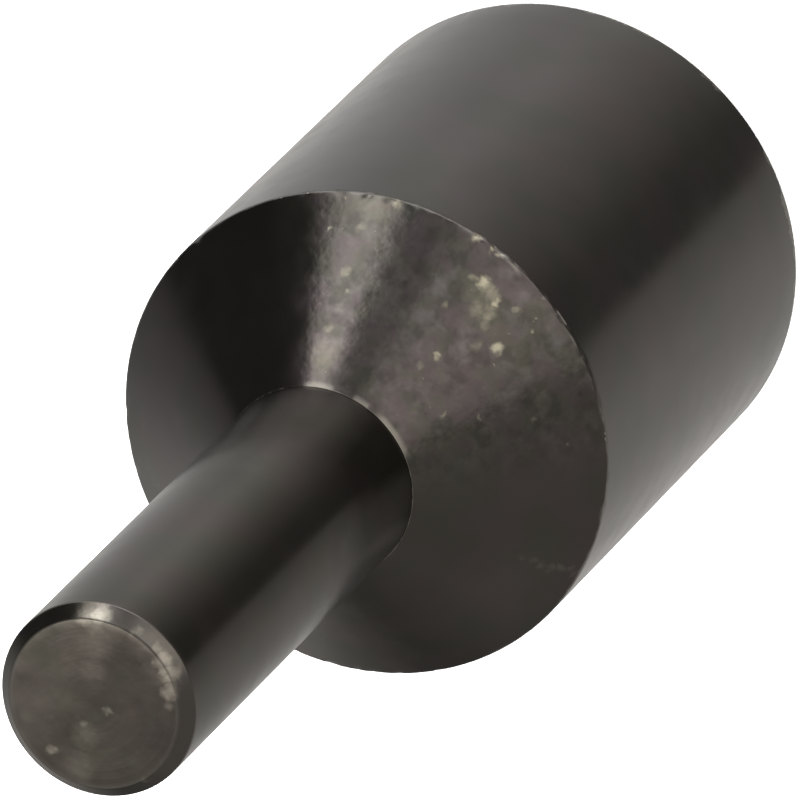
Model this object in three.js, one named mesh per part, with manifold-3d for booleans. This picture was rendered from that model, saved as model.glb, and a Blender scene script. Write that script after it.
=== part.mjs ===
// A drive punch with a replaceable pin, in millimetres.
//
// The tool stands on its striking face, centred on the origin, and its pin points up along +Z.
// It comes apart into three pieces: the punch body, the hardened pin that seats in a blind bore
// along the body's axis, and the grub screw that bears on a flat at the pin's lower end.

import * as THREE from 'three';
import { mergeVertices } from 'three/addons/utils/BufferGeometryUtils.js';
import Module from 'manifold-3d';

const wasm = await Module();
wasm.setup();

// Driving dimensions.
const BODY_DIAMETER = 16;
const BODY_LENGTH = 17.6;
const SHOULDER_HEIGHT = 4.3;
const PIN_DIAMETER = 6.3;
const PIN_REACH = 19;
const SEAT_DEPTH = 13.4;

// Small features of the body and the pin.
const STRIKING_CHAMFER = 0.15;
const SHOULDER_EDGE_BREAK = 0.2;
const MOUTH_CHAMFER = 0.02;
const TIP_CHAMFER = 0.4;
const TAIL_CHAMFER = 0.5;
const FLAT_DEPTH = 0.6;
const FLAT_LENGTH = 6.4;

// The grub screw: M4 by 5 mm, hexagon socket, cup point.
const SCREW_DIAMETER = 4;
const SCREW_LENGTH = 5;
const SCREW_END_CHAMFER = 0.35;
const SOCKET_ACROSS_FLATS = 2;
const SOCKET_DEPTH = 2;
const CUP_DIAMETER = 2;
const CUP_DEPTH = 0.6;
const SCREW_SINK = 0.4;
const HOLE_COUNTERSINK = 0.3;

// Clearances between pieces that move on each other.
const PIN_CLEARANCE = 0.01;
const SEAT_GAP = 0.02;
const SCREW_CLEARANCE = 0.05;

// Facets around a full turn.
const TURNED_FACETS = 72;
const SCREW_FACETS = 48;

// Places worked out from the dimensions above.
const bodyRadius = BODY_DIAMETER / 2;
const pinRadius = PIN_DIAMETER / 2;
const boreRadius = pinRadius + PIN_CLEARANCE;
const mouthHeight = BODY_LENGTH + SHOULDER_HEIGHT;
const seatHeight = mouthHeight - SEAT_DEPTH;
const tipHeight = mouthHeight + PIN_REACH;
const tailHeight = seatHeight + SEAT_GAP;
const screwHeight = tailHeight + FLAT_LENGTH / 2;
const screwOuterEnd = bodyRadius - SCREW_SINK;

// A closed three.js geometry as a manifold solid, with its shared vertices merged.
function toSolid(geometry) {
    const bare = geometry.clone();
    bare.deleteAttribute('normal');
    bare.deleteAttribute('uv');
    const merged = mergeVertices(bare, 1e-5);
    const vertProperties = new Float32Array(merged.attributes.position.array);
    const triVerts = new Uint32Array(merged.index.array);
    return new wasm.Manifold(new wasm.Mesh({ numProp: 3, vertProperties, triVerts }));
}

// A manifold solid as a named mesh.
function toMesh(name, solid, material) {
    const { vertProperties, triVerts } = solid.getMesh();
    const geometry = new THREE.BufferGeometry();
    geometry.setAttribute('position', new THREE.BufferAttribute(vertProperties, 3));
    geometry.setIndex(new THREE.BufferAttribute(triVerts, 1));
    geometry.computeVertexNormals();
    const mesh = new THREE.Mesh(geometry, material);
    mesh.name = name;
    return mesh;
}

// A turned shape about +Z from [radius, height] points that start and end on the axis,
// given from the bottom up along the outside.
function turned(points, facets) {
    const profile = points.map(([radius, height]) => new THREE.Vector2(radius, height));
    return new THREE.LatheGeometry(profile, facets).rotateX(Math.PI / 2);
}

// A turned shape about +Y through the height of the grub screw; its heights run outwards along +Y.
function turnedAboutScrewAxis(points) {
    return turned(points, SCREW_FACETS).rotateX(-Math.PI / 2).translate(0, 0, screwHeight);
}

function blackenedSteel(color, roughness) {
    return new THREE.MeshStandardMaterial({ color, roughness, metalness: 0.85 });
}

// The body's outside with its blind bore, turned in one piece.
function bodyBlank() {
    const shoulderWidth = bodyRadius - boreRadius - MOUTH_CHAMFER;
    const breakDrop = SHOULDER_EDGE_BREAK * SHOULDER_HEIGHT / shoulderWidth;
    return toSolid(turned([
        [0, 0],
        [bodyRadius - STRIKING_CHAMFER, 0],
        [bodyRadius, STRIKING_CHAMFER],
        [bodyRadius, BODY_LENGTH - SHOULDER_EDGE_BREAK],
        [bodyRadius - SHOULDER_EDGE_BREAK, BODY_LENGTH + breakDrop],
        [boreRadius + MOUTH_CHAMFER, mouthHeight],
        [boreRadius, mouthHeight - MOUTH_CHAMFER],
        [boreRadius, seatHeight],
        [0, seatHeight],
    ], TURNED_FACETS));
}

// The tapped hole's space, from inside the bore out through the body's side.
function screwHoleSpace() {
    const radius = SCREW_DIAMETER / 2 + SCREW_CLEARANCE;
    const beyond = bodyRadius + 1;
    const countersinkStart = screwOuterEnd - HOLE_COUNTERSINK / 2;
    return toSolid(turnedAboutScrewAxis([
        [0, pinRadius / 2],
        [radius, pinRadius / 2],
        [radius, countersinkStart],
        [radius + beyond - countersinkStart, beyond],
        [0, beyond],
    ]));
}

function punchBody() {
    const solid = bodyBlank().subtract(screwHoleSpace());
    return toMesh('punch_body', solid, blackenedSteel(0x4a4743, 0.42));
}

// A chamfered round pin with a flat on its lower end, open towards the tail.
function punchPin() {
    const round = toSolid(turned([
        [0, tailHeight],
        [pinRadius - TAIL_CHAMFER, tailHeight],
        [pinRadius, tailHeight + TAIL_CHAMFER],
        [pinRadius, tipHeight - TIP_CHAMFER],
        [pinRadius - TIP_CHAMFER, tipHeight],
        [0, tipHeight],
    ], TURNED_FACETS));
    const overhang = 1;
    const block = new THREE.BoxGeometry(
        PIN_DIAMETER + overhang,
        FLAT_DEPTH + overhang,
        FLAT_LENGTH + overhang,
    );
    block.translate(
        0,
        pinRadius + (overhang - FLAT_DEPTH) / 2,
        tailHeight + (FLAT_LENGTH - overhang) / 2,
    );
    return toMesh('punch_pin', round.subtract(toSolid(block)), blackenedSteel(0x45423d, 0.38));
}

// The hexagon of the screw's socket, cut in from its outer end.
function socketSpace() {
    const cornerRadius = SOCKET_ACROSS_FLATS / Math.sqrt(3);
    const hexagon = new THREE.CylinderGeometry(cornerRadius, cornerRadius, SOCKET_DEPTH * 2, 6);
    return toSolid(hexagon.translate(0, screwOuterEnd, screwHeight));
}

// The grub screw, drawn at its major diameter without the thread.
function grubScrew() {
    const radius = SCREW_DIAMETER / 2;
    const point = screwOuterEnd - SCREW_LENGTH;
    const cupRadius = CUP_DIAMETER / 2;
    const pointChamfer = radius - cupRadius - 0.3;
    const round = toSolid(turnedAboutScrewAxis([
        [0, point + CUP_DEPTH],
        [cupRadius, point],
        [radius - pointChamfer, point],
        [radius, point + pointChamfer],
        [radius, screwOuterEnd - SCREW_END_CHAMFER],
        [radius - SCREW_END_CHAMFER, screwOuterEnd],
        [0, screwOuterEnd],
    ]));
    return toMesh('grub_screw', round.subtract(socketSpace()), blackenedSteel(0x2b2b2c, 0.5));
}

const punch = new THREE.Group();
punch.add(punchBody(), punchPin(), grubScrew());

export default punch;
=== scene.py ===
"""The looks of a drive punch with a replaceable pin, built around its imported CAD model.

The tool stands on its striking face with the pin pointing up. Lengths here are in millimetres, and
make_piece turns them into metres. Directions round the tool are bearings in degrees: 0 is -Y, which
the camera stands over, 90 is -X, and the grub screw sits at 180, out of the camera's sight.
"""

import math

import bpy
import numpy as np
from mathutils import Matrix, Vector


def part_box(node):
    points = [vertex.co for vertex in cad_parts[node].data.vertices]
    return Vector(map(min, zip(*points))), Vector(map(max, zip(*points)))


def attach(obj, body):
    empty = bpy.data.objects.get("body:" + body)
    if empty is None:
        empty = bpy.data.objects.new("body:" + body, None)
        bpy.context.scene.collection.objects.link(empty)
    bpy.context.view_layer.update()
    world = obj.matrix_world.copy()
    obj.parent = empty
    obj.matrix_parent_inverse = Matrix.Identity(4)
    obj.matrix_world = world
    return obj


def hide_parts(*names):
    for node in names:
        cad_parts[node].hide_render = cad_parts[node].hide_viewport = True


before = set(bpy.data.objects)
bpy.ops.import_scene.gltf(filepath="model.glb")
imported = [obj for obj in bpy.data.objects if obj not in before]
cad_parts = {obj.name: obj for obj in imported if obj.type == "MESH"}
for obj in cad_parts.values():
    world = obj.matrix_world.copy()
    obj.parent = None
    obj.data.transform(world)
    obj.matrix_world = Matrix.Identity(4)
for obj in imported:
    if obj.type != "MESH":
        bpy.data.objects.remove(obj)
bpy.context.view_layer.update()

MM = 0.001


def box_in_mm(node):
    """The lowest and highest corner of a CAD node's box."""
    low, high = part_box(node)
    return low / MM, high / MM


# Sizes that the frame gives.
_, body_high = box_in_mm("punch_body")
pin_low, pin_high = box_in_mm("punch_pin")
screw_low, screw_high = box_in_mm("grub_screw")
BODY_RADIUS = body_high.x
MOUTH_HEIGHT = body_high.z
PIN_RADIUS = pin_high.x
TAIL_HEIGHT = pin_low.z
TIP_HEIGHT = pin_high.z
SCREW_RADIUS = screw_high.x
SCREW_HEIGHT = (screw_low.z + screw_high.z) / 2
SCREW_POINT = screw_low.y
SCREW_OUTER_END = screw_high.y

# Features inside those boxes, as the CAD model has them.
SHOULDER_HEIGHT = 4.3
RIM_HEIGHT = MOUTH_HEIGHT - SHOULDER_HEIGHT
SEAT_HEIGHT = TAIL_HEIGHT - 0.02
STRIKING_CHAMFER = 0.15
RIM_ROUND = 0.16
TIP_CHAMFER = 0.4
TIP_ROUND = 0.14
TAIL_CHAMFER = 0.5
FLAT_OFFSET = PIN_RADIUS - 0.6
FLAT_LENGTH = 6.4
HOLE_CLEARANCE = 0.05
COUNTERSINK_START = SCREW_OUTER_END - 0.15

# The bore and its mouth, a little tighter than in the CAD model, so that the joint between the body
# and the pin shows as a thin line.
BORE_RADIUS = PIN_RADIUS + 0.004
MOUTH_CHAMFER = 0.006

# The M4 thread.
PITCH = 0.7
THREAD_DEPTH = 0.38
THREAD_ROOT = 0.19
THREAD_FLANK = 0.68
THREAD_CLEARANCE = 0.03
TAPPED_MINOR_RADIUS = 1.66

# The screw's socket and ends.
SCREW_END_CHAMFER = 0.35
SOCKET_APOTHEM = 1.0
SOCKET_DEPTH = 2.0
CUP_RADIUS = 1.0
CUP_DEPTH = 0.6

SHOULDER_WIDTH = BODY_RADIUS - BORE_RADIUS - MOUTH_CHAMFER

# How far from the rim and from the striking face the body is nicked, and how deep at most.
RIM_BAND = 0.42
STRUCK_BAND = 0.6
DEEPEST_KNOCK = 0.11

# The windows left for the tapped hole: half their height, and half their width in degrees.
OUTER_WINDOW = 3.15
OUTER_WINDOW_DEGREES = 22.8
INNER_WINDOW = 2.62
INNER_WINDOW_DEGREES = 52.8

# How finely the meshes are cut, and the angle from which an edge is drawn sharp.
BODY_COLUMNS = 540
PIN_COLUMNS = 288
SCREW_COLUMNS = 120
THREAD_STEP = PITCH / 12
TAPPED_STEP = PITCH / 9
SHARP_DEGREES = 28


# ---------------------------------------------------------------- outlines and meshes


def along(start, end, step):
    """Points after start up to end, no further apart than step."""
    start, end = np.array(start, float), np.array(end, float)
    count = max(1, math.ceil(np.linalg.norm(end - start) / step - 1e-9))
    return [tuple(start + (end - start) * i / count) for i in range(1, count + 1)]


def outline(corners):
    """A profile of (radius, height) points from corners given as (radius, height, round, step).

    A corner with a round above 0 becomes an arc of that radius, and step is the spacing of the points
    on the straight stretch that leads up to the corner.
    """
    arcs = []
    for i, (radius, height, fillet, _) in enumerate(corners):
        here = np.array([radius, height])
        if fillet == 0:
            arcs.append([tuple(here)])
            continue
        before = np.array(corners[i - 1][:2]) - here
        after = np.array(corners[i + 1][:2]) - here
        before /= np.linalg.norm(before)
        after /= np.linalg.norm(after)
        half = math.acos(np.clip(before @ after, -1, 1)) / 2
        reach = fillet / math.tan(half)
        centre = here + (before + after) / np.linalg.norm(before + after) * fillet / math.sin(half)
        first, last = here + before * reach - centre, here + after * reach - centre
        turn = math.pi - 2 * half
        pieces = max(2, math.ceil(turn / math.radians(9)))
        points = []
        for k in range(pieces + 1):
            share = k / pieces
            blend = first * math.sin((1 - share) * turn) + last * math.sin(share * turn)
            points.append(tuple(centre + blend / math.sin(turn)))
        arcs.append(points)
    profile = list(arcs[0])
    for arc, corner in zip(arcs[1:], corners[1:]):
        profile += along(profile[-1], arc[0], corner[3])
        profile += arc[1:]
    return np.array(profile)


class Skin:
    """Collects the points and faces of one closed mesh."""

    def __init__(self):
        self.points = []
        self.worn = []
        self.faces = []

    def add(self, points, worn=0.0):
        """Adds points, with how worn the surface is there, and returns their numbers."""
        first = len(self.points)
        self.points.extend(tuple(p) for p in points)
        self.worn.extend(np.broadcast_to(worn, len(points)))
        return list(range(first, len(self.points)))

    def join(self, lower, upper, keep=None):
        """Joins two loops of as many points with quads, where keep(i) says so."""
        count = len(lower)
        for i in range(count):
            j = (i + 1) % count
            if keep is None or keep(i):
                self.faces.append((lower[i], lower[j], upper[j], upper[i]))

    def fan(self, loop, centre, upwards):
        """Closes a loop onto one point."""
        count = len(loop)
        for i in range(count):
            j = (i + 1) % count
            corner = (loop[i], loop[j], centre)
            self.faces.append(corner if upwards else corner[::-1])

    def zip(self, inner, inner_angles, outer, outer_angles):
        """Joins two loops round the same centre that have different numbers of points.

        Both run the same way, and their angles rise from their first point to their last.
        """
        i = j = 0
        while i < len(inner) or j < len(outer):
            next_inner = inner_angles[i + 1] if i + 1 < len(inner) else inner_angles[0] + math.tau
            next_outer = outer_angles[j + 1] if j + 1 < len(outer) else outer_angles[0] + math.tau
            here, there = inner[i % len(inner)], outer[j % len(outer)]
            if j >= len(outer) or (i < len(inner) and next_inner <= next_outer):
                self.faces.append((there, here, inner[(i + 1) % len(inner)]))
                i += 1
            else:
                self.faces.append((there, here, outer[(j + 1) % len(outer)]))
                j += 1


def make_piece(name, skin, material):
    """A Blender object from a skin in millimetres, smooth except across sharp edges."""
    mesh = bpy.data.meshes.new(name)
    mesh.from_pydata([tuple(c * MM for c in p) for p in skin.points], [], skin.faces)
    mesh.update()
    worn = mesh.attributes.new("worn", "FLOAT", "POINT")
    worn.data.foreach_set("value", np.array(skin.worn, np.float32))
    mesh.validate()
    mesh.shade_smooth()
    mesh.set_sharp_from_angle(angle=math.radians(SHARP_DEGREES))
    piece = bpy.data.objects.new(name, mesh)
    bpy.context.scene.collection.objects.link(piece)
    mesh.materials.append(material)
    return piece


def bearings(columns):
    """The angle of each column of a turned mesh, from +X towards +Y."""
    return np.arange(columns) * math.tau / columns


def ring(radius, height, angles):
    """A loop of points about +Z. radius is a number or one number for each angle."""
    radius = np.broadcast_to(radius, angles.shape)
    return np.stack([radius * np.cos(angles), radius * np.sin(angles), np.full(angles.shape, height)], 1)


def point_at(bearing, radius, height):
    """A point at a bearing in degrees, a radius and a height."""
    turn = math.radians(bearing)
    return (-radius * math.sin(turn), -radius * math.cos(turn), height)


def gap_in_degrees(angles, bearing):
    """How far each column lies from a bearing, in degrees, from -180 to 180."""
    here = np.degrees(np.arctan2(-np.cos(angles), -np.sin(angles)))
    return (here - bearing + 180) % 360 - 180


# ---------------------------------------------------------------- the thread


def thread_height(turn, along_axis):
    """How much of the thread stands up, 0 at its root and 1 at its crest, for a right-hand thread.

    turn is the angle about the screw's axis and along_axis the distance along it.
    """
    phase = (along_axis / PITCH - turn / math.tau) % 1
    slope = 1 - np.abs(phase * 2 - 1)
    return np.clip((slope - THREAD_ROOT) / THREAD_FLANK, 0, 1)


def screw_thread_radius(turn, along_axis):
    """The radius of the screw's thread, from its root to its crest."""
    return SCREW_RADIUS - THREAD_DEPTH * (1 - thread_height(turn, along_axis))


def tapped_radius(turn, along_axis):
    """The wall of the tapped hole: the screw's thread with a little room, cut off at the tap drill."""
    thread = screw_thread_radius(turn, along_axis) + THREAD_CLEARANCE
    countersink = SCREW_RADIUS + HOLE_CLEARANCE + (along_axis - COUNTERSINK_START)
    return np.maximum(np.maximum(thread, TAPPED_MINOR_RADIUS), countersink)


def cross_hole_loop(turns, depth_of):
    """Points of a loop round the screw's axis at the depth that depth_of(x) gives for each point.

    The loop lies where the tapped hole's wall meets a surface, so its radius and depth are found together.
    """
    along_axis = depth_of(0 * turns)
    for _ in range(12):
        radius = tapped_radius(turns, along_axis)
        along_axis = depth_of(radius * np.sin(turns))
    return radius, along_axis


# ---------------------------------------------------------------- the body


class Window:
    """A rectangle of columns and rows left out of a turned mesh round the grub screw's axis."""

    def __init__(self, angles, heights, half_degrees, half_height):
        gap = gap_in_degrees(angles, 180)
        order = np.argsort(gap)
        self.columns = [int(i) for i in order if abs(gap[i]) <= half_degrees + 1e-6][::-1]
        self.rows = [k for k, z in enumerate(heights) if abs(z - SCREW_HEIGHT) <= half_height + 1e-6]

    def holds(self, row, column):
        """True if the face above row and after column is inside the window."""
        return row in self.rows[:-1] and column in self.columns[:-1]

    def border(self, numbers):
        """The border's point numbers, once round by the right hand about +Y from the top middle."""
        left, right = self.columns[-1], self.columns[0]
        top, bottom = self.rows[-1], self.rows[0]
        loop = [numbers[top][c] for c in self.columns]
        loop += [numbers[k][left] for k in self.rows[-2::-1]]
        loop += [numbers[bottom][c] for c in self.columns[-2::-1]]
        loop += [numbers[k][right] for k in self.rows[1:-1]]
        return loop


def turns_about_screw(skin, loop):
    """The angle of each point about the screw's axis, from +Z towards +X."""
    points = np.array([skin.points[i] for i in loop])
    return np.arctan2(points[:, 0], points[:, 2] - SCREW_HEIGHT) % math.tau


def start_at_least_turn(loop, turns):
    """The loop begun at its smallest angle and run so that its angles rise."""
    start = int(np.argmin(turns))
    loop, turns = loop[start:] + loop[:start], np.roll(turns, -start)
    if turns[1] > turns[-1]:
        loop, turns = [loop[0]] + loop[:0:-1], np.concatenate([turns[:1], turns[:0:-1]])
    return loop, turns


def body_corners():
    """The body's outline from the middle of the striking face up the outside and down into the bore."""
    fine = 0.06
    return [
        (0.0, 0.0, 0, 1),
        (BODY_RADIUS - STRIKING_CHAMFER, 0.0, 0.08, 0.55),
        (BODY_RADIUS, STRIKING_CHAMFER, 0.10, 0.1),
        (BODY_RADIUS, SCREW_HEIGHT - OUTER_WINDOW, 0, 1.5),
        (BODY_RADIUS, SCREW_HEIGHT + OUTER_WINDOW, 0, 0.25),
        (BODY_RADIUS, RIM_HEIGHT - RIM_BAND, 0, 1.0),
        (BODY_RADIUS, RIM_HEIGHT, RIM_ROUND, fine),
        (*shoulder_point(RIM_BAND), 0, fine),
        (*shoulder_point(SHOULDER_WIDTH), 0.002, 0.20),
        (BORE_RADIUS, MOUTH_HEIGHT - MOUTH_CHAMFER, 0.002, 0.06),
        (BORE_RADIUS, SCREW_HEIGHT + INNER_WINDOW, 0, 1.0),
        (BORE_RADIUS, SCREW_HEIGHT - INNER_WINDOW, 0, 0.4),
        (BORE_RADIUS, SEAT_HEIGHT, 0.0, 0.5),
        (0.0, SEAT_HEIGHT, 0, 0.8),
    ]


def shoulder_point(inwards):
    """The radius and height of the shoulder at a distance inwards from the rim."""
    return BODY_RADIUS - inwards, RIM_HEIGHT + inwards * SHOULDER_HEIGHT / SHOULDER_WIDTH


class Knocks:
    """Small sharp nicks along an edge that runs round the tool.

    The bearing is a number, or one number for each nick, and the nicks are spread about it.
    """

    def __init__(self, seed, count, bearing, spread, depths, widths=(0.6, 1.9)):
        draw = np.random.default_rng(seed)
        self.bearing = draw.normal(bearing, spread, count)
        self.place = draw.normal(0, 0.05, count)
        self.reach = draw.uniform(0.05, 0.10, count)
        self.width = draw.uniform(*widths, count)
        self.lean = draw.uniform(0.4, 1.6, count)
        self.depth = draw.uniform(*depths, count)

    def cut(self, along_profile, angles):
        """How deep the nicks are at each column of a ring, which lies along_profile beyond the edge."""
        gaps = gap_in_degrees(angles[:, None], self.bearing)
        side = np.where(gaps > 0, self.lean, 2 - self.lean)
        across = np.clip(1 - np.abs(gaps) * side / self.width, 0, 1)
        along_edge = np.exp(-((along_profile - self.place) / self.reach) ** 2)
        return np.minimum((self.depth * across * along_edge).sum(1), DEEPEST_KNOCK)


def dents(points, seed, count):
    """How deep hammer marks are at points on the striking face."""
    draw = np.random.default_rng(seed)
    depth = np.zeros(len(points))
    for _ in range(count):
        reach = BODY_RADIUS * 0.85 * math.sqrt(draw.uniform())
        middle = point_at(draw.uniform(0, 360), reach, 0)
        size = draw.uniform(0.5, 1.5)
        distance = np.hypot(points[:, 0] - middle[0], points[:, 1] - middle[1])
        depth += draw.uniform(0.01, 0.035) * np.exp(-(distance / size) ** 4)
    return depth


def body_skin():
    """The turned body with its nicks and dents, and the tapped hole through its side."""
    skin = Skin()
    profile = outline(body_corners())
    angles = bearings(BODY_COLUMNS)
    # On the rim: fine nicks on the lit side, fine nicks behind, a few wide ones and five deep ones.
    rim_knocks = (
        Knocks(7, 60, -10, 24, (0.002, 0.011)),
        Knocks(8, 60, 150, 80, (0.003, 0.02)),
        Knocks(12, 10, 14, 12, (0.010, 0.026), (2.2, 4.0)),
        Knocks(13, 5, (-13.4, -12.8, -8.6, -7.6, -6.2), 0.2, (0.02, 0.04)),
    )
    struck_knocks = Knocks(9, 60, 180, 50, (0.006, 0.03))
    bright_from, bright_range = 0.026, 0.03
    inside = profile[1:-1]
    numbers = []
    for radius, height in inside:
        loop = ring(radius, height, angles)
        from_rim = BODY_RADIUS - radius if height > RIM_HEIGHT - RIM_ROUND / 2 else height - RIM_HEIGHT
        outside = radius > BORE_RADIUS + MOUTH_CHAMFER
        worn = np.zeros(angles.shape)
        if outside and abs(from_rim) < RIM_BAND:
            cut = sum(knocks.cut(from_rim, angles) for knocks in rim_knocks)
            loop = ring(radius - cut, height, angles)
            loop[:, 2] -= cut * 0.8
            worn = np.clip((cut - bright_from) / bright_range, 0, 1)
        elif outside and height < STRUCK_BAND:
            from_edge = height - STRIKING_CHAMFER / 2 if height > 0 else radius - BODY_RADIUS
            loop = ring(radius - struck_knocks.cut(from_edge, angles), height, angles)
            loop[:, 2] += dents(loop, 10, 26) * (height < 0.01)
        numbers.append(skin.add(loop, worn))
    bottom, seat = skin.add([(0, 0, profile[0][1]), (0, 0, profile[-1][1])])
    top = int(np.argmax(inside[:, 1]))
    outer_heights = [z if k < top else -1 for k, (_, z) in enumerate(inside)]
    inner_heights = [z if k > top else -1 for k, (_, z) in enumerate(inside)]
    outer = Window(angles, outer_heights, OUTER_WINDOW_DEGREES, OUTER_WINDOW)
    inner = Window(angles, inner_heights, INNER_WINDOW_DEGREES, INNER_WINDOW)
    for row in range(len(inside) - 1):
        skin.join(numbers[row], numbers[row + 1],
                  lambda i: not (outer.holds(row, i) or inner.holds(row, i)))
    skin.fan(numbers[0], bottom, upwards=False)
    skin.fan(numbers[-1], seat, upwards=True)
    add_tapped_hole(skin, outer.border(numbers), inner.border(numbers))
    return skin


def add_tapped_hole(skin, outer_border, inner_border):
    """The tapped hole's wall from the outer window to the inner one, with the patches round both."""
    outer_border, turns = start_at_least_turn(outer_border, turns_about_screw(skin, outer_border))
    border_points = np.array([skin.points[i] for i in outer_border])

    def on_outside(x):
        return np.sqrt(BODY_RADIUS ** 2 - x ** 2)

    def on_bore(x):
        return np.sqrt(BORE_RADIUS ** 2 - x ** 2)

    mouth_radius, mouth_depth = cross_hole_loop(turns, on_outside)
    mouth = np.stack([mouth_radius * np.sin(turns), SCREW_HEIGHT + mouth_radius * np.cos(turns)], 1)
    last = outer_border
    patch_rings = 7
    for k in range(1, patch_rings + 1):
        share = k / patch_rings
        flat = border_points[:, [0, 2]] * (1 - share) + mouth * share
        points = np.stack([flat[:, 0], on_outside(flat[:, 0]), flat[:, 1]], 1)
        loop = skin.add(points)
        skin.join(last, loop)
        last = loop

    _, end_depth = cross_hole_loop(turns, on_bore)
    steps = math.ceil((mouth_depth.max() - end_depth.min()) / TAPPED_STEP)
    for k in range(1, steps + 1):
        depth = mouth_depth + (end_depth - mouth_depth) * k / steps
        radius = tapped_radius(turns, depth)
        points = np.stack(
            [radius * np.sin(turns), depth, SCREW_HEIGHT + radius * np.cos(turns)], 1)
        loop = skin.add(points)
        skin.join(last, loop)
        last = loop

    inner_border, inner_turns = start_at_least_turn(inner_border, turns_about_screw(skin, inner_border))
    skin.zip(last, turns, inner_border, inner_turns)


# ---------------------------------------------------------------- the pin


def pin_skin():
    """The pin, with the flat on its lower end cut straight down to the tail."""
    skin = Skin()
    tip_start = TIP_HEIGHT - TIP_CHAMFER
    flat_top = TAIL_HEIGHT + FLAT_LENGTH
    profile = outline([
        (0.0, TAIL_HEIGHT, 0, 1),
        (PIN_RADIUS - TAIL_CHAMFER, TAIL_HEIGHT, 0.08, 0.4),
        (PIN_RADIUS, TAIL_HEIGHT + TAIL_CHAMFER, 0.1, 0.1),
        (PIN_RADIUS, flat_top, 0, 0.25),
        (PIN_RADIUS, tip_start, TIP_ROUND, 0.3),
        (PIN_RADIUS - TIP_CHAMFER, TIP_HEIGHT, TIP_ROUND, 0.08),
        (0.0, TIP_HEIGHT, 0, 0.25),
    ])
    angles = bearings(PIN_COLUMNS)
    edge = math.acos(FLAT_OFFSET / PIN_RADIUS)
    for side in (math.pi / 2 - edge, math.pi / 2 + edge):
        angles[np.argmin(np.abs(angles - side))] = side
    towards_flat = np.maximum(np.sin(angles), 1e-6)
    flat_radius = np.where(np.sin(angles) > 0.1, FLAT_OFFSET / towards_flat, np.inf)
    step_rings = 3
    step_height = 0.04
    loops = []
    for radius, height in profile[1:-1]:
        below_step = height <= flat_top + 1e-9
        cut = np.minimum(radius, flat_radius) if below_step else radius
        loops.append(ring(cut, height, angles))
        if abs(height - flat_top) < 1e-9:
            for k in range(1, step_rings + 1):
                share = k / step_rings
                loops.append(ring(cut + (radius - cut) * share, height + step_height * share, angles))
    numbers = [skin.add(loop) for loop in loops]
    tail, tip = skin.add([(0, 0, TAIL_HEIGHT), (0, 0, TIP_HEIGHT)])
    for lower, upper in zip(numbers, numbers[1:]):
        skin.join(lower, upper)
    skin.fan(numbers[0], tail, upwards=False)
    skin.fan(numbers[-1], tip, upwards=True)
    return skin


# ---------------------------------------------------------------- the grub screw


def screw_ring(radius, along_axis, turns):
    """A loop about the screw's axis, from +Z towards +X."""
    radius = np.broadcast_to(radius, turns.shape)
    along_axis = np.broadcast_to(along_axis, turns.shape)
    return np.stack([radius * np.sin(turns), along_axis, SCREW_HEIGHT + radius * np.cos(turns)], 1)


def hexagon_radius(turns, apothem):
    """The radius of a hexagon at each angle. apothem is the distance from its middle to a flat."""
    return apothem / np.cos(turns % (math.tau / 6) - math.tau / 12)


def screw_skin():
    """The grub screw from its cup point over the thread to the floor of its socket."""
    skin = Skin()
    turns = bearings(SCREW_COLUMNS)
    point_edge = CUP_RADIUS + 0.08
    loops = [screw_ring(r, SCREW_POINT + CUP_DEPTH * (1 - r / CUP_RADIUS), turns) for r in (0.25, 0.6)]
    loops.append(screw_ring(CUP_RADIUS, SCREW_POINT + 0.01, turns))
    loops.append(screw_ring(point_edge, SCREW_POINT, turns))
    steps = math.ceil((SCREW_OUTER_END - SCREW_POINT) / THREAD_STEP)
    for k in range(1, steps):
        along_axis = SCREW_POINT + (SCREW_OUTER_END - SCREW_POINT) * k / steps
        point_cone = point_edge + (along_axis - SCREW_POINT)
        end_cone = SCREW_RADIUS - SCREW_END_CHAMFER + (SCREW_OUTER_END - along_axis)
        thread = screw_thread_radius(turns, along_axis)
        loops.append(screw_ring(np.minimum(np.minimum(thread, point_cone), end_cone), along_axis, turns))
    face_radius = SCREW_RADIUS - 0.42
    socket = hexagon_radius(turns, SOCKET_APOTHEM)
    socket_mouth = np.maximum(socket, SOCKET_APOTHEM + 0.19)
    chamfer_depth = (socket_mouth - socket) * 0.6
    loops.append(screw_ring(face_radius, SCREW_OUTER_END, turns))
    loops.append(screw_ring(face_radius - 0.12, SCREW_OUTER_END, turns))
    loops.append(screw_ring(socket_mouth, SCREW_OUTER_END - 0.005, turns))
    loops.append(screw_ring(socket, SCREW_OUTER_END - 0.01 - chamfer_depth, turns))
    for depth in (0.5, 1.0, 1.5, SOCKET_DEPTH):
        loops.append(screw_ring(socket, SCREW_OUTER_END - depth, turns))
    loops.append(screw_ring(SOCKET_APOTHEM * 0.9, SCREW_OUTER_END - SOCKET_DEPTH - 0.02, turns))
    numbers = [skin.add(loop) for loop in loops]
    cup, socket_floor = skin.add([
        (0, SCREW_POINT + CUP_DEPTH, SCREW_HEIGHT),
        (0, SCREW_OUTER_END - SOCKET_DEPTH - 0.3, SCREW_HEIGHT),
    ])
    for lower, upper in zip(numbers, numbers[1:]):
        skin.join(lower, upper)
    skin.fan(numbers[0], cup, upwards=False)
    skin.fan(numbers[-1], socket_floor, upwards=True)
    return skin


# ---------------------------------------------------------------- node graphs


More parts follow.
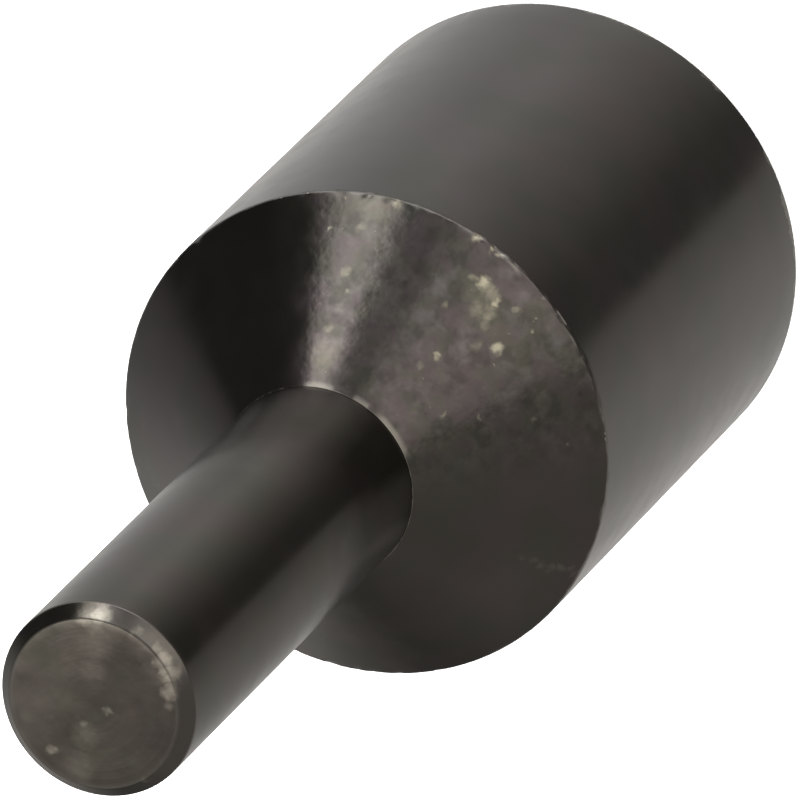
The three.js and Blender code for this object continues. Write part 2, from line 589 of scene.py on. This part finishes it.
class Graph:
    """Short calls that add nodes to a node tree and give back their outputs."""

    def __init__(self, tree):
        self.tree = tree

    def feed(self, socket, value):
        """Sets a socket to a number, a vector, a colour or another node's output."""
        if isinstance(value, bpy.types.NodeSocket):
            self.tree.links.new(value, socket)
        elif socket.type == "RGBA":
            socket.default_value = (*value, 1)
        else:
            socket.default_value = value

    def node(self, kind, inputs, **settings):
        node = self.tree.nodes.new(kind)
        for name, value in settings.items():
            setattr(node, name, value)
        for socket, value in inputs.items():
            self.feed(node.inputs[socket], value)
        return node

    def maths(self, operation, *values):
        return self.node("ShaderNodeMath", dict(enumerate(values)), operation=operation).outputs[0]

    def vector(self, operation, *values):
        node = self.node("ShaderNodeVectorMath", dict(enumerate(values)), operation=operation)
        gives_number = operation in ("LENGTH", "DISTANCE", "DOT_PRODUCT")
        return node.outputs["Value" if gives_number else "Vector"]

    def scaled(self, vector, factor):
        inputs = {"Vector": vector, "Scale": factor}
        return self.node("ShaderNodeVectorMath", inputs, operation="SCALE").outputs["Vector"]

    def split(self, vector):
        return self.node("ShaderNodeSeparateXYZ", {0: vector}).outputs

    def step(self, value, low, high, start=0.0, end=1.0):
        """start where the value is low, end where it is high, and a smooth slope between."""
        inputs = {"Value": value, "From Min": low, "From Max": high, "To Min": start, "To Max": end}
        return self.node("ShaderNodeMapRange", inputs, interpolation_type="SMOOTHSTEP").outputs[0]

    def noise(self, place, size, seed, detail=2.0):
        """Smooth noise from 0 to 1 with bumps of a size in the units of place, and its colour."""
        moved = self.vector("ADD", place, (seed * 7, seed * 5, seed * 3))
        inputs = {"Vector": moved, "Scale": 1 / size, "Detail": detail}
        return self.node("ShaderNodeTexNoise", inputs).outputs

    def mix(self, factor, first, second):
        """A colour between two others."""
        node = self.node("ShaderNodeMix", {}, data_type="RGBA")
        for index, value in zip((0, 6, 7), (factor, first, second)):
            self.feed(node.inputs[index], value)
        return node.outputs[2]

    def compass(self, x, y):
        """The bearing of a direction in degrees."""
        turn = self.maths("ARCTAN2", self.maths("MULTIPLY", x, -1), self.maths("MULTIPLY", y, -1))
        return self.maths("DEGREES", turn)

    def levels(self, bearing, stops):
        """A grey level for each bearing from (bearing, level) stops."""
        place = self.maths("MULTIPLY_ADD", bearing, 1 / 360, 0.5)
        node = self.node("ShaderNodeValToRGB", {"Fac": place})
        elements = node.color_ramp.elements
        elements.remove(elements[1])
        for k, (stop, level) in enumerate(stops):
            element = elements[0] if k == 0 else elements.new(1)
            element.position = (stop + 180) / 360
            element.color = (level, level, level, 1)
        return node.outputs["Color"]


# ---------------------------------------------------------------- materials

OLIVE_OXIDE = (0.086, 0.081, 0.071)
VIOLET_OXIDE = (0.094, 0.081, 0.078)
RUBBED_STEEL = (0.42, 0.39, 0.33)
YELLOWED_STEEL = (0.43, 0.40, 0.30)


class Steel:
    """A blackened steel in the making."""

    def __init__(self, name, tones, roughness):
        self.material = bpy.data.materials.new(name)
        self.material.use_nodes = True
        self.shader = self.material.node_tree.nodes["Principled BSDF"]
        self.graph = graph = Graph(self.material.node_tree)
        coordinates = graph.node("ShaderNodeTexCoord", {})
        self.place = graph.scaled(coordinates.outputs["Object"], 1 / MM)
        self.x, self.y, self.z = graph.split(self.place)
        self.radius = graph.vector("LENGTH", graph.vector("MULTIPLY", self.place, (1, 1, 0)))
        self.bearing = graph.compass(self.x, self.y)
        wander = graph.vector("SUBTRACT", graph.noise(self.place, 0.34, 5, 3)["Color"], (0.5, 0.5, 0.5))
        self.ragged_place = graph.vector("ADD", self.place, graph.scaled(wander, 0.55))
        cloud = graph.step(graph.noise(self.place, 2.6, 1)["Fac"], 0.38, 0.62)
        self.colour = graph.mix(cloud, *tones)
        self.roughness = graph.step(graph.noise(self.place, 1.1, 2)["Fac"], 0.3, 0.7,
                                    roughness * 0.9, roughness * 1.15)
        self.height = 0.0

    def both(self, first, second):
        """A mask where two masks are."""
        return self.graph.maths("MULTIPLY", first, second)

    def shade(self, size, seed, low, high, where=1.0):
        """Darkens and lightens the colour in soft patches of a size."""
        graph = self.graph
        level = graph.step(graph.noise(self.place, size, seed)["Fac"], 0.32, 0.68, low - 1, high - 1)
        self.colour = graph.scaled(self.colour, graph.maths("MULTIPLY_ADD", level, where, 1))

    def tint(self, size, seed, colour, amount, where=1.0):
        """Turns patches of a size towards a colour."""
        graph = self.graph
        patch = graph.step(graph.noise(self.place, size, seed)["Fac"], 0.48, 0.62, 0, amount)
        self.colour = graph.mix(self.both(patch, where), self.colour, colour)

    def wear(self, mask, colour=RUBBED_STEEL, roughness=0.3):
        """Rubs the black off where the mask is."""
        graph = self.graph
        self.colour = graph.mix(mask, self.colour, colour)
        more = graph.maths("SUBTRACT", roughness, self.roughness)
        self.roughness = graph.maths("MULTIPLY_ADD", more, mask, self.roughness)

    def emboss(self, depth, shape, where=1.0):
        """Raises the surface by depth, in millimetres, times a shape from 0 to 1."""
        rise = self.graph.maths("MULTIPLY", self.both(shape, where), depth)
        self.height = self.graph.maths("ADD", self.height, rise)

    def near_circle(self, radius, height):
        """The distance from a circle about the tool's axis."""
        graph = self.graph
        across = graph.maths("SUBTRACT", self.radius, radius)
        along_axis = graph.maths("SUBTRACT", self.z, height)
        flat = graph.node("ShaderNodeCombineXYZ", {0: across, 1: along_axis}).outputs[0]
        return graph.vector("LENGTH", flat)

    def ragged_line(self, distance, reach, grain, seed, soft, least, most):
        """A line of uneven width, up to reach wide on each side of where the distance is 0.

        Noise with bumps of the size of grain gives the width: none where the noise is below least, and
        all of reach where it is above most. The line's sides fade out over soft.
        """
        graph = self.graph
        here = graph.step(graph.noise(self.place, grain, seed, 4)["Fac"], least, most, 0, reach)
        return graph.step(graph.maths("SUBTRACT", here, distance), 0, soft)

    def blotches(self, spots):
        """Soft, ragged spots from (point, size, strength) triples."""
        graph = self.graph
        mask = 0.0
        for point, size, strength in spots:
            distance = graph.vector("DISTANCE", self.ragged_place, point)
            mask = graph.maths("MAXIMUM", mask, graph.step(distance, size, size * 0.1, 0, strength))
        crumbs = graph.step(graph.noise(self.place, 0.22, 6)["Fac"], 0.3, 0.6, 0.75, 1)
        return self.both(mask, crumbs)

    def arcs(self, spans):
        """A mask of stretches round the tool from (bearing, half width) pairs in degrees."""
        graph = self.graph
        mask = 0.0
        for middle, half in spans:
            gap = graph.maths("ABSOLUTE", graph.maths("SUBTRACT", self.bearing, middle))
            mask = graph.maths("MAXIMUM", mask, graph.step(gap, half, half * 0.6))
        return mask

    def turned_grain(self, across, size, depth, where=1.0):
        """Fine tool marks that run round the axis, spaced along a coordinate."""
        graph = self.graph
        drift = graph.scaled(graph.vector("MULTIPLY", self.place, (1, 1, 0)), 0.03)
        shift = graph.node("ShaderNodeCombineXYZ", {2: across}).outputs[0]
        place = graph.vector("ADD", drift, shift)
        self.emboss(depth, graph.noise(place, size, 9, 3)["Fac"], where)

    def finish(self, edge=1.0):
        """The finished material. edge is how much of the light a surface seen edge-on sends back."""
        graph = self.graph
        bump = graph.node("ShaderNodeBump", {"Height": self.height, "Distance": MM, "Strength": 1})
        graph.feed(self.shader.inputs["Base Color"], self.colour)
        graph.feed(self.shader.inputs["Roughness"], self.roughness)
        graph.feed(self.shader.inputs["Normal"], bump.outputs["Normal"])
        self.shader.inputs["Metallic"].default_value = 1
        self.shader.inputs["Specular Tint"].default_value = (edge, edge, edge, 1)
        return self.material


def on_shoulder(spots):
    """Spots for blotches() on the shoulder from (bearing, radius, size, strength)."""
    placed = []
    for bearing, radius, size, strength in spots:
        share = (BODY_RADIUS - radius) / (BODY_RADIUS - BORE_RADIUS)
        point = point_at(bearing, radius, RIM_HEIGHT + share * SHOULDER_HEIGHT)
        placed.append((point, size, strength))
    return placed


def body_steel():
    """Black oxide, mottled and chipped on the shoulder, rubbed bright at the edges, with painted
    highlights on the shoulder's bright streak and at the bore's mouth.
    """
    steel = Steel("body_steel", (OLIVE_OXIDE, VIOLET_OXIDE), 0.19)
    graph = steel.graph
    shoulder = graph.step(steel.z, RIM_HEIGHT, RIM_HEIGHT + 0.15)
    lit_side = steel.both(shoulder, steel.arcs([(-8, 62)]))
    steel.shade(5.0, 11, 0.93, 1.07)
    steel.shade(0.55, 12, 0.80, 1.22, lit_side)
    steel.shade(0.2, 13, 0.92, 1.08, lit_side)
    steel.tint(0.9, 14, (0.100, 0.081, 0.083), 0.6, lit_side)
    steel.tint(0.8, 15, (0.090, 0.089, 0.068), 0.38, lit_side)
    steel.emboss(0.010, graph.noise(steel.place, 0.6, 16)["Fac"], lit_side)
    steel.emboss(0.003, graph.noise(steel.place, 0.2, 17)["Fac"], lit_side)
    steel.turned_grain(steel.z, 0.12, 0.0004)
    add_shoulder_chips(steel, shoulder, lit_side)
    add_handling_scuffs(steel)
    add_body_edges(steel)
    add_struck_face(steel)
    add_bore(steel)
    return steel.finish()


def add_shoulder_chips(steel, shoulder, lit_side):
    """Bright chipped spots in the oxide of the shoulder, most of them in one cluster, with painted
    highlights along the bright streak, and one scratch.

    Every spot is given as (bearing, radius, size, strength).
    """
    graph = steel.graph
    cluster = [(-8.5, 7.12, 0.20, 0.35), (-6, 7.20, 0.34, 1), (-4, 7.20, 0.34, 0.4),
               (-2, 7.16, 0.30, 0.4), (-0.3, 7.06, 0.24, 0.8), (0, 6.88, 0.26, 0.25),
               (1, 6.70, 0.28, 0.3), (2, 6.50, 0.28, 0.22), (-2.5, 6.62, 0.28, 0.2),
               (9, 6.38, 0.27, 0.85), (4.5, 7.30, 0.17, 0.3), (9.5, 7.50, 0.11, 0.4),
               (10.2, 7.38, 0.09, 0.4), (11, 7.25, 0.12, 0.5), (5, 6.05, 0.22, 0.2),
               (-10, 6.23, 0.17, 0.3), (-1, 5.15, 0.17, 0.6), (-3, 4.75, 0.22, 0.2),
               # The four faint spots at bearings -39 to -42 lie along the bright streak and are painted
               # highlight as much as chipped oxide.
               (-40, 7.18, 0.26, 0.22), (-41, 6.05, 0.22, 0.2), (-39, 5.6, 0.20, 0.22),
               (-42, 4.6, 0.22, 0.2), (32, 6.4, 0.14, 0.35), (-48, 7.1, 0.15, 0.4),
               (24, 5.2, 0.12, 0.3), (41, 7.1, 0.12, 0.3), (17, 4.4, 0.14, 0.3),
               (-33, 7.92, 0.26, 0.4), (-13.6, 7.98, 0.24, 0.9), (-9.2, 7.99, 0.17, 0.8),
               (-6.8, 7.99, 0.17, 0.8)]
    chips_and_painted_glints = steel.blotches(on_shoulder(cluster))
    steel.wear(chips_and_painted_glints, YELLOWED_STEEL, 0.26)
    steel.emboss(-0.006, chips_and_painted_glints)
    # Painted highlight, partly haze: the pale patches at bearings -41 and -37 brighten the colour along
    # the bright reflected streak, and the one at -3 lies in the chipped cluster.
    haze_and_painted_highlight = [(-3, 6.9, 0.9, 0.10), (-41, 4.0, 0.8, 0.16), (-37, 7.7, 0.7, 0.12)]
    steel.wear(steel.blotches(on_shoulder(haze_and_painted_highlight)), YELLOWED_STEEL)
    puffs = [(-14, 6.5, 0.5, 0.10), (-12, 5.7, 0.45, 0.12), (-9, 5.0, 0.4, 0.10), (2, 5.8, 0.35, 0.12),
             (6, 5.6, 0.3, 0.10), (-4, 7.7, 0.3, 0.07), (3, 7.65, 0.35, 0.13), (9, 7.1, 0.4, 0.07),
             (17, 7.6, 0.4, 0.12), (25, 7.7, 0.35, 0.10), (20, 6.6, 0.4, 0.07), (-20, 7.2, 0.5, 0.06)]
    steel.wear(steel.blotches(on_shoulder(puffs)), (0.40, 0.37, 0.38), 0.26)
    specks = graph.step(graph.noise(steel.place, 0.15, 18, 3)["Fac"], 0.70, 0.80, 0, 0.35)
    steel.wear(steel.both(specks, lit_side), YELLOWED_STEEL)
    scratch = [(74.5, 6.40, 0.18, 0.07), (75.0, 6.66, 0.21, 0.09), (75.8, 6.93, 0.22, 0.11),
               (76.4, 7.20, 0.24, 0.13), (75.9, 7.45, 0.23, 0.14), (75.8, 7.70, 0.23, 0.13),
               (77.0, 7.93, 0.22, 0.12)]
    steel.wear(steel.both(steel.blotches(on_shoulder(scratch)), shoulder))


def add_handling_scuffs(steel):
    """Faint scratches and rubbed places on the side that holds the screw."""
    graph = steel.graph
    back = steel.arcs([(180, 70), (-180, 70)])
    for seed, stretch in ((51, (1, 1, 9)), (52, (3, 3, 14)), (53, (9, 9, 1.5))):
        line = graph.noise(graph.vector("MULTIPLY", steel.place, stretch), 2.2, seed, 1)["Fac"]
        thin = graph.step(graph.maths("ABSOLUTE", graph.maths("SUBTRACT", line, 0.5)), 0.010, 0.003)
        patch = graph.step(graph.noise(steel.place, 1.8, seed + 9)["Fac"], 0.55, 0.68, 0, 0.20)
        steel.wear(steel.both(steel.both(thin, patch), back), RUBBED_STEEL, 0.3)
    dull = graph.step(graph.noise(steel.place, 1.3, 60, 4)["Fac"], 0.54, 0.70, 0, 0.16)
    steel.wear(steel.both(dull, back), (0.16, 0.15, 0.135), 0.34)


def add_body_edges(steel):
    """Wear on the rim, on the mouth of the bore and on the struck edge, with painted highlights on the
    mouth.
    """
    graph = steel.graph
    rim = steel.near_circle(BODY_RADIUS, RIM_HEIGHT)
    steel.wear(steel.ragged_line(rim, 0.15, 0.9, 21, 0.10, 0.3, 0.7), (0.15, 0.14, 0.13))
    steel.wear(steel.ragged_line(rim, 0.13, 0.16, 22, 0.05, 0.60, 0.80), (0.32, 0.30, 0.27))
    knocked = graph.node("ShaderNodeAttribute", {}, attribute_name="worn").outputs["Fac"]
    steel.wear(graph.maths("MULTIPLY", knocked, 0.7), (0.44, 0.42, 0.39), 0.26)
    mouth = steel.near_circle(BORE_RADIUS + 0.02, MOUTH_HEIGHT)
    steel.wear(steel.ragged_line(mouth, 0.07, 0.7, 23, 0.04, 0.35, 0.8), (0.15, 0.14, 0.13))
    # Painted highlight, partly wear: bright slivers on the mouth's edge at bearings -40, -14 and 12, where
    # the edge catches the light.
    slivers_and_painted_highlight = steel.both(steel.arcs([(-40, 10), (-14, 6), (12, 16)]), graph.step(mouth, 0.22, 0.04))
    steel.wear(graph.maths("MULTIPLY", slivers_and_painted_highlight, 0.8), (0.27, 0.25, 0.22))
    struck = steel.near_circle(BODY_RADIUS - STRIKING_CHAMFER / 2, STRIKING_CHAMFER / 2)
    steel.wear(steel.ragged_line(struck, 0.5, 0.9, 24, 0.12, 0.35, 0.75), (0.24, 0.225, 0.20), 0.34)


def add_struck_face(steel):
    """Turned rings on the striking face, with the black knocked off in patches."""
    graph = steel.graph
    face = graph.step(steel.z, 0.1, 0.06)
    steel.turned_grain(steel.radius, 0.16, 0.004, face)
    patches = graph.step(graph.noise(steel.place, 1.5, 25, 5)["Fac"], 0.50, 0.62, 0, 0.75)
    steel.wear(steel.both(patches, face), RUBBED_STEEL, 0.38)


def add_bore(steel):
    """The wall of the bore, rubbed along its length by the pin."""
    graph = steel.graph
    bore = steel.both(graph.step(steel.radius, BORE_RADIUS + 0.03, BORE_RADIUS + 0.01),
                      graph.step(steel.z, SEAT_HEIGHT - 0.1, SEAT_HEIGHT))
    streaks = graph.noise(graph.vector("MULTIPLY", steel.place, (1, 1, 0.08)), 0.35, 26, 3)["Fac"]
    steel.wear(steel.both(bore, graph.step(streaks, 0.4, 0.7, 0.15, 0.6)), RUBBED_STEEL, 0.4)


def pin_steel():
    """The pin's black oxide, with painted light that makes one side lighter, and a mottled tip that has
    lost its black in places.
    """
    steel = Steel("pin_steel", ((0.078, 0.073, 0.061), (0.083, 0.071, 0.065)), 0.20)
    graph = steel.graph
    # Painted light and shade: the colour is scaled from 0.88 towards -X up to 1.34 towards +X, so one side
    # of the pin is lighter.
    painted_side_light = graph.step(steel.x, -0.2, 1.5, 0.88, 1.34)
    steel.colour = graph.scaled(steel.colour, painted_side_light)
    steel.shade(4.0, 31, 0.94, 1.06)
    steel.turned_grain(steel.z, 0.10, 0.0005)
    add_pin_tip(steel)
    add_pin_shank(steel)
    return steel.finish(edge=0.86)


def add_pin_tip(steel):
    """Turned rings, mottling and worn blotches, given as (bearing, radius, size, strength), on the tip."""
    graph = steel.graph
    face = graph.step(steel.z, TIP_HEIGHT - 0.12, TIP_HEIGHT - 0.02)
    end = graph.step(steel.z, TIP_HEIGHT - 0.7, TIP_HEIGHT - 0.5)
    steel.turned_grain(steel.radius, 0.15, 0.0022, face)
    steel.shade(1.4, 32, 0.86, 1.10, face)
    steel.tint(1.6, 33, (0.070, 0.073, 0.058), 0.5, face)
    steel.tint(1.2, 34, (0.083, 0.073, 0.063), 0.35, face)
    steel.emboss(0.006, graph.noise(steel.place, 0.5, 35)["Fac"], end)
    edge = steel.near_circle(PIN_RADIUS - TIP_CHAMFER / 2, TIP_HEIGHT - TIP_CHAMFER / 2)
    thinned = graph.step(steel.arcs([(-72, 40)]), 0.0, 0.8, 0.55, 0.0)
    steel.wear(steel.both(graph.step(edge, 0.44, 0.24), thinned), (0.14, 0.13, 0.12), 0.26)
    blotches = [(-37, 2.92, 0.5, 1), (-47, 2.80, 0.5, 0.5), (-40, 2.5, 0.5, 0.30), (-40, 1.9, 0.8, 0.14),
                (-42, 1.1, 0.6, 0.12), (-12, 2.95, 0.34, 0.45), (-5, 2.7, 0.8, 0.12), (3, 2.95, 0.3, 0.4),
                (11, 2.8, 0.45, 0.65), (20, 2.75, 0.5, 0.7), (31, 2.55, 0.4, 0.5), (42, 2.4, 0.3, 0.2),
                (14, 2.7, 1.0, 0.12), (-35, 2.6, 1.0, 0.12), (155, 1.1, 0.6, 0.14), (150, 2.2, 0.8, 0.12),
                (178, 2.2, 0.22, 0.4), (104, 2.8, 0.2, 0.35), (71, 0.45, 0.24, 0.35), (165, 0.8, 0.2, 0.3)]
    height = TIP_HEIGHT - 0.05
    spots = [(point_at(bearing, radius, height), *rest) for bearing, radius, *rest in blotches]
    steel.wear(steel.blotches(spots), RUBBED_STEEL, 0.3)


def add_pin_shank(steel):
    """What sits in the bore: rubbed along its length, with a ground flat and the screw's ring mark."""
    graph = steel.graph
    streaks = graph.noise(graph.vector("MULTIPLY", steel.place, (1, 1, 0.07)), 0.3, 37, 3)["Fac"]
    start = graph.maths("MULTIPLY_ADD", streaks, 3.5, steel.z)
    shank = graph.step(start, MOUTH_HEIGHT + 1.2, MOUTH_HEIGHT - 1.2)
    shank = steel.both(shank, graph.step(steel.z, MOUTH_HEIGHT, MOUTH_HEIGHT - 0.3))
    steel.wear(steel.both(shank, graph.step(streaks, 0.45, 0.75, 0.04, 0.4)), RUBBED_STEEL, 0.34)
    flat = steel.both(graph.step(steel.y, FLAT_OFFSET - 0.03, FLAT_OFFSET - 0.01),
                      graph.step(steel.radius, PIN_RADIUS - 0.01, PIN_RADIUS - 0.03))
    low = graph.step(steel.z, TAIL_HEIGHT + FLAT_LENGTH + 0.1, TAIL_HEIGHT + FLAT_LENGTH)
    flat = steel.both(flat, low)
    grinding = graph.noise(graph.vector("MULTIPLY", steel.place, (0.05, 1, 1)), 0.09, 38, 3)["Fac"]
    steel.wear(graph.maths("MULTIPLY", flat, 0.75), (0.34, 0.33, 0.31), 0.36)
    steel.emboss(0.003, grinding, flat)
    from_screw = graph.vector("DISTANCE", graph.vector("MULTIPLY", steel.place, (1, 0, 1)),
                              (0, 0, SCREW_HEIGHT))
    off_ring = graph.maths("ABSOLUTE", graph.maths("SUBTRACT", from_screw, CUP_RADIUS + 0.04))
    mark = steel.both(graph.step(off_ring, 0.12, 0.05), flat)
    steel.wear(mark, (0.55, 0.53, 0.50), 0.25)
    steel.emboss(-0.02, mark)


def screw_steel():
    """Black oxide with the thread's crests and the socket's edge worn."""
    steel = Steel("screw_steel", ((0.062, 0.062, 0.062), (0.070, 0.064, 0.058)), 0.30)
    graph = steel.graph
    steel.shade(0.8, 41, 0.85, 1.15)
    from_axis = graph.vector("DISTANCE", graph.vector("MULTIPLY", steel.place, (1, 0, 1)),
                             (0, 0, SCREW_HEIGHT))
    rubbed = graph.step(graph.noise(steel.place, 0.4, 42, 4)["Fac"], 0.40, 0.62, 0.1, 0.7)
    crest = graph.step(from_axis, SCREW_RADIUS - 0.07, SCREW_RADIUS - 0.02)
    steel.wear(steel.both(crest, rubbed))
    outer_end = graph.step(steel.y, SCREW_OUTER_END - 0.10, SCREW_OUTER_END - 0.02)
    socket_edge = graph.step(from_axis, SOCKET_APOTHEM + 0.32, SOCKET_APOTHEM + 0.16)
    steel.wear(steel.both(steel.both(outer_end, socket_edge), rubbed))
    point = graph.step(steel.y, SCREW_POINT + 0.09, SCREW_POINT + 0.03)
    steel.wear(graph.maths("MULTIPLY", point, 0.7), (0.5, 0.48, 0.45), 0.25)
    steel.emboss(0.002, graph.noise(steel.place, 0.12, 43)["Fac"])
    return steel.finish()


# ---------------------------------------------------------------- the studio


def direction_of(bearing, elevation):
    """The unit vector of a direction given in degrees."""
    level = math.cos(math.radians(elevation))
    return Vector(point_at(bearing, level, math.sin(math.radians(elevation))))


# Round soft boxes: the direction as (bearing, elevation), the inner and outer radius, and the level.
SOFT_BOXES = [
    ((-158, 67), 5, 11, 0.8),
    ((180, 25), 20, 46, 0.12),
    ((100, -13), 7, 11, 0.12),
    ((-112, -14), 7, 11, 0.12),
    ((168, -10), 4, 8, 0.3),
]


def studio_world():
    """Soft boxes and dark flags at a distance, as a level for each direction."""
    world = bpy.data.worlds.new("studio")
    bpy.context.scene.world = world
    world.use_nodes = True
    background = world.node_tree.nodes["Background"]
    graph = Graph(world.node_tree)
    sky = graph.node("ShaderNodeTexCoord", {}).outputs["Generated"]
    x, y, z = graph.split(sky)
    bearing = graph.compass(x, y)
    above = graph.levels(bearing, [
        (-180, 0.16), (-165, 0.17), (-150, 0.18), (-140, 0.14), (-131, 0.10), (-125, 0.035),
        (-76, 0.035), (-68, 1.03), (-55, 1.08), (-48, 0.22), (-31, 0.20), (-25, 0.45), (-16, 0.42),
        (-5, 0.53), (12, 0.54), (32, 0.37), (41, 0.175), (120, 0.16), (146, 0.065), (158, 0.06),
        (170, 0.09), (180, 0.16),
    ])
    middle = graph.levels(bearing, [
        (-180, 0.26), (-157, 0.23), (-145, 0.21), (-120, 0.18), (-100, 0.30), (-84, 0.60),
        (-36, 0.85), (-12, 0.40), (4, 0.15), (44, 0.11), (60, 0.30), (100, 0.32), (120, 0.18), (148, 0.08),
        (162, 0.14), (180, 0.26),
    ])
    below = graph.levels(bearing, [
        (-180, 0.26), (-150, 0.27), (-120, 0.25), (-80, 0.25), (-60, 0.30), (-20, 0.18), (15, 0.07),
        (40, 0.050), (45, 0.16), (80, 0.235), (120, 0.21), (160, 0.22), (180, 0.25),
    ])
    # The plain top reaches lower behind the tool.
    top_level = 0.21
    lower = graph.mix(graph.step(z, -0.78, -0.64), below, middle)
    most = graph.mix(graph.step(z, -0.28, -0.18), lower, above)
    behind = graph.step(y, 0.1, 0.5, 0, 0.3)
    whole = graph.mix(graph.step(graph.maths("ADD", z, behind), 0.62, 0.82), most,
                      (top_level, top_level, top_level))
    for direction, inner, outer, level in SOFT_BOXES:
        towards = graph.vector("DOT_PRODUCT", sky, direction_of(*direction))
        box = graph.step(towards, math.cos(math.radians(outer)), math.cos(math.radians(inner)), 0, level)
        whole = graph.vector("ADD", whole, graph.scaled((1, 1, 1), box))
    warmth = graph.mix(graph.step(x, 0, 0.6), (1, 0.968, 0.925), (1, 1, 1))
    whole = graph.vector("MULTIPLY", whole, warmth)
    # What the camera sees behind the tool and the floor.
    pale = 0.34
    sight = graph.node("ShaderNodeLightPath", {}).outputs["Is Camera Ray"]
    graph.feed(background.inputs["Color"], graph.mix(sight, whole, (pale, pale, pale)))
    background.inputs["Strength"].default_value = 2.6


def area_light(name, direction, distance, size, power):
    """A square soft box that faces the tool's middle. direction is (bearing, elevation) in degrees."""
    out = direction_of(*direction)
    data = bpy.data.lights.new(name, "AREA")
    data.shape = "SQUARE"
    data.size = size
    data.energy = power
    light = bpy.data.objects.new(name, data)
    light.location = Vector((0, 0, TIP_HEIGHT / 2 * MM)) + out * distance
    light.rotation_euler = (-out).to_track_quat("-Z", "Y").to_euler()
    light.visible_camera = False
    bpy.context.scene.collection.objects.link(light)
    return light


def floor():
    """A pale floor that the tool stands on, left out of the metal's reflections."""
    mesh = bpy.data.meshes.new("floor")
    half = 3.0
    corners = [(-half, -half, 0), (half, -half, 0), (half, half, 0), (-half, half, 0)]
    mesh.from_pydata(corners, [], [(0, 1, 2, 3)])
    plane = bpy.data.objects.new("floor", mesh)
    bpy.context.scene.collection.objects.link(plane)
    material = bpy.data.materials.new("pale_floor")
    material.use_nodes = True
    shader = material.node_tree.nodes["Principled BSDF"]
    shader.inputs["Base Color"].default_value = (0.86, 0.86, 0.86, 1)
    shader.inputs["Roughness"].default_value = 0.9
    shader.inputs["Specular IOR Level"].default_value = 0.1
    mesh.materials.append(material)
    plane.visible_glossy = False


def camera():
    """A long lens over bearing 0, turned so that the pin points down to the left in the picture."""
    tilt = math.radians(29.58)
    roll = math.radians(-134.9)
    distance = 86.2 * BODY_RADIUS
    width = 3.105 * BODY_RADIUS
    aim_right, aim_up = 0.134 * BODY_RADIUS, 0.130 * BODY_RADIUS
    data = bpy.data.cameras.new("camera")
    data.lens = data.sensor_width * distance / width
    data.clip_start = 0.01
    data.clip_end = 20
    view = bpy.data.objects.new("camera", data)
    turn = Matrix.Rotation(tilt, 4, "X") @ Matrix.Rotation(roll, 4, "Z")
    offset = turn @ Vector((aim_right, aim_up, distance))
    place = (Vector((0, 0, RIM_HEIGHT)) + offset) * MM
    view.matrix_world = Matrix.Translation(place) @ turn
    bpy.context.scene.collection.objects.link(view)
    bpy.context.scene.camera = view


# ---------------------------------------------------------------- the whole scene

camera()
studio_world()

# This light whitens the floor and stays out of the metal's reflections.
overhead = area_light("overhead", (0, 72), 0.6, 0.5, 12)
overhead.visible_glossy = False
floor()
bpy.context.scene.view_settings.view_transform = "Standard"

body = make_piece("body", body_skin(), body_steel())
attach(body, "body")
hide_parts("punch_body")

pin = make_piece("pin", pin_skin(), pin_steel())
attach(pin, "pin")
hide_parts("punch_pin")

screw = make_piece("screw", screw_skin(), screw_steel())
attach(screw, "screw")
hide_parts("grub_screw")
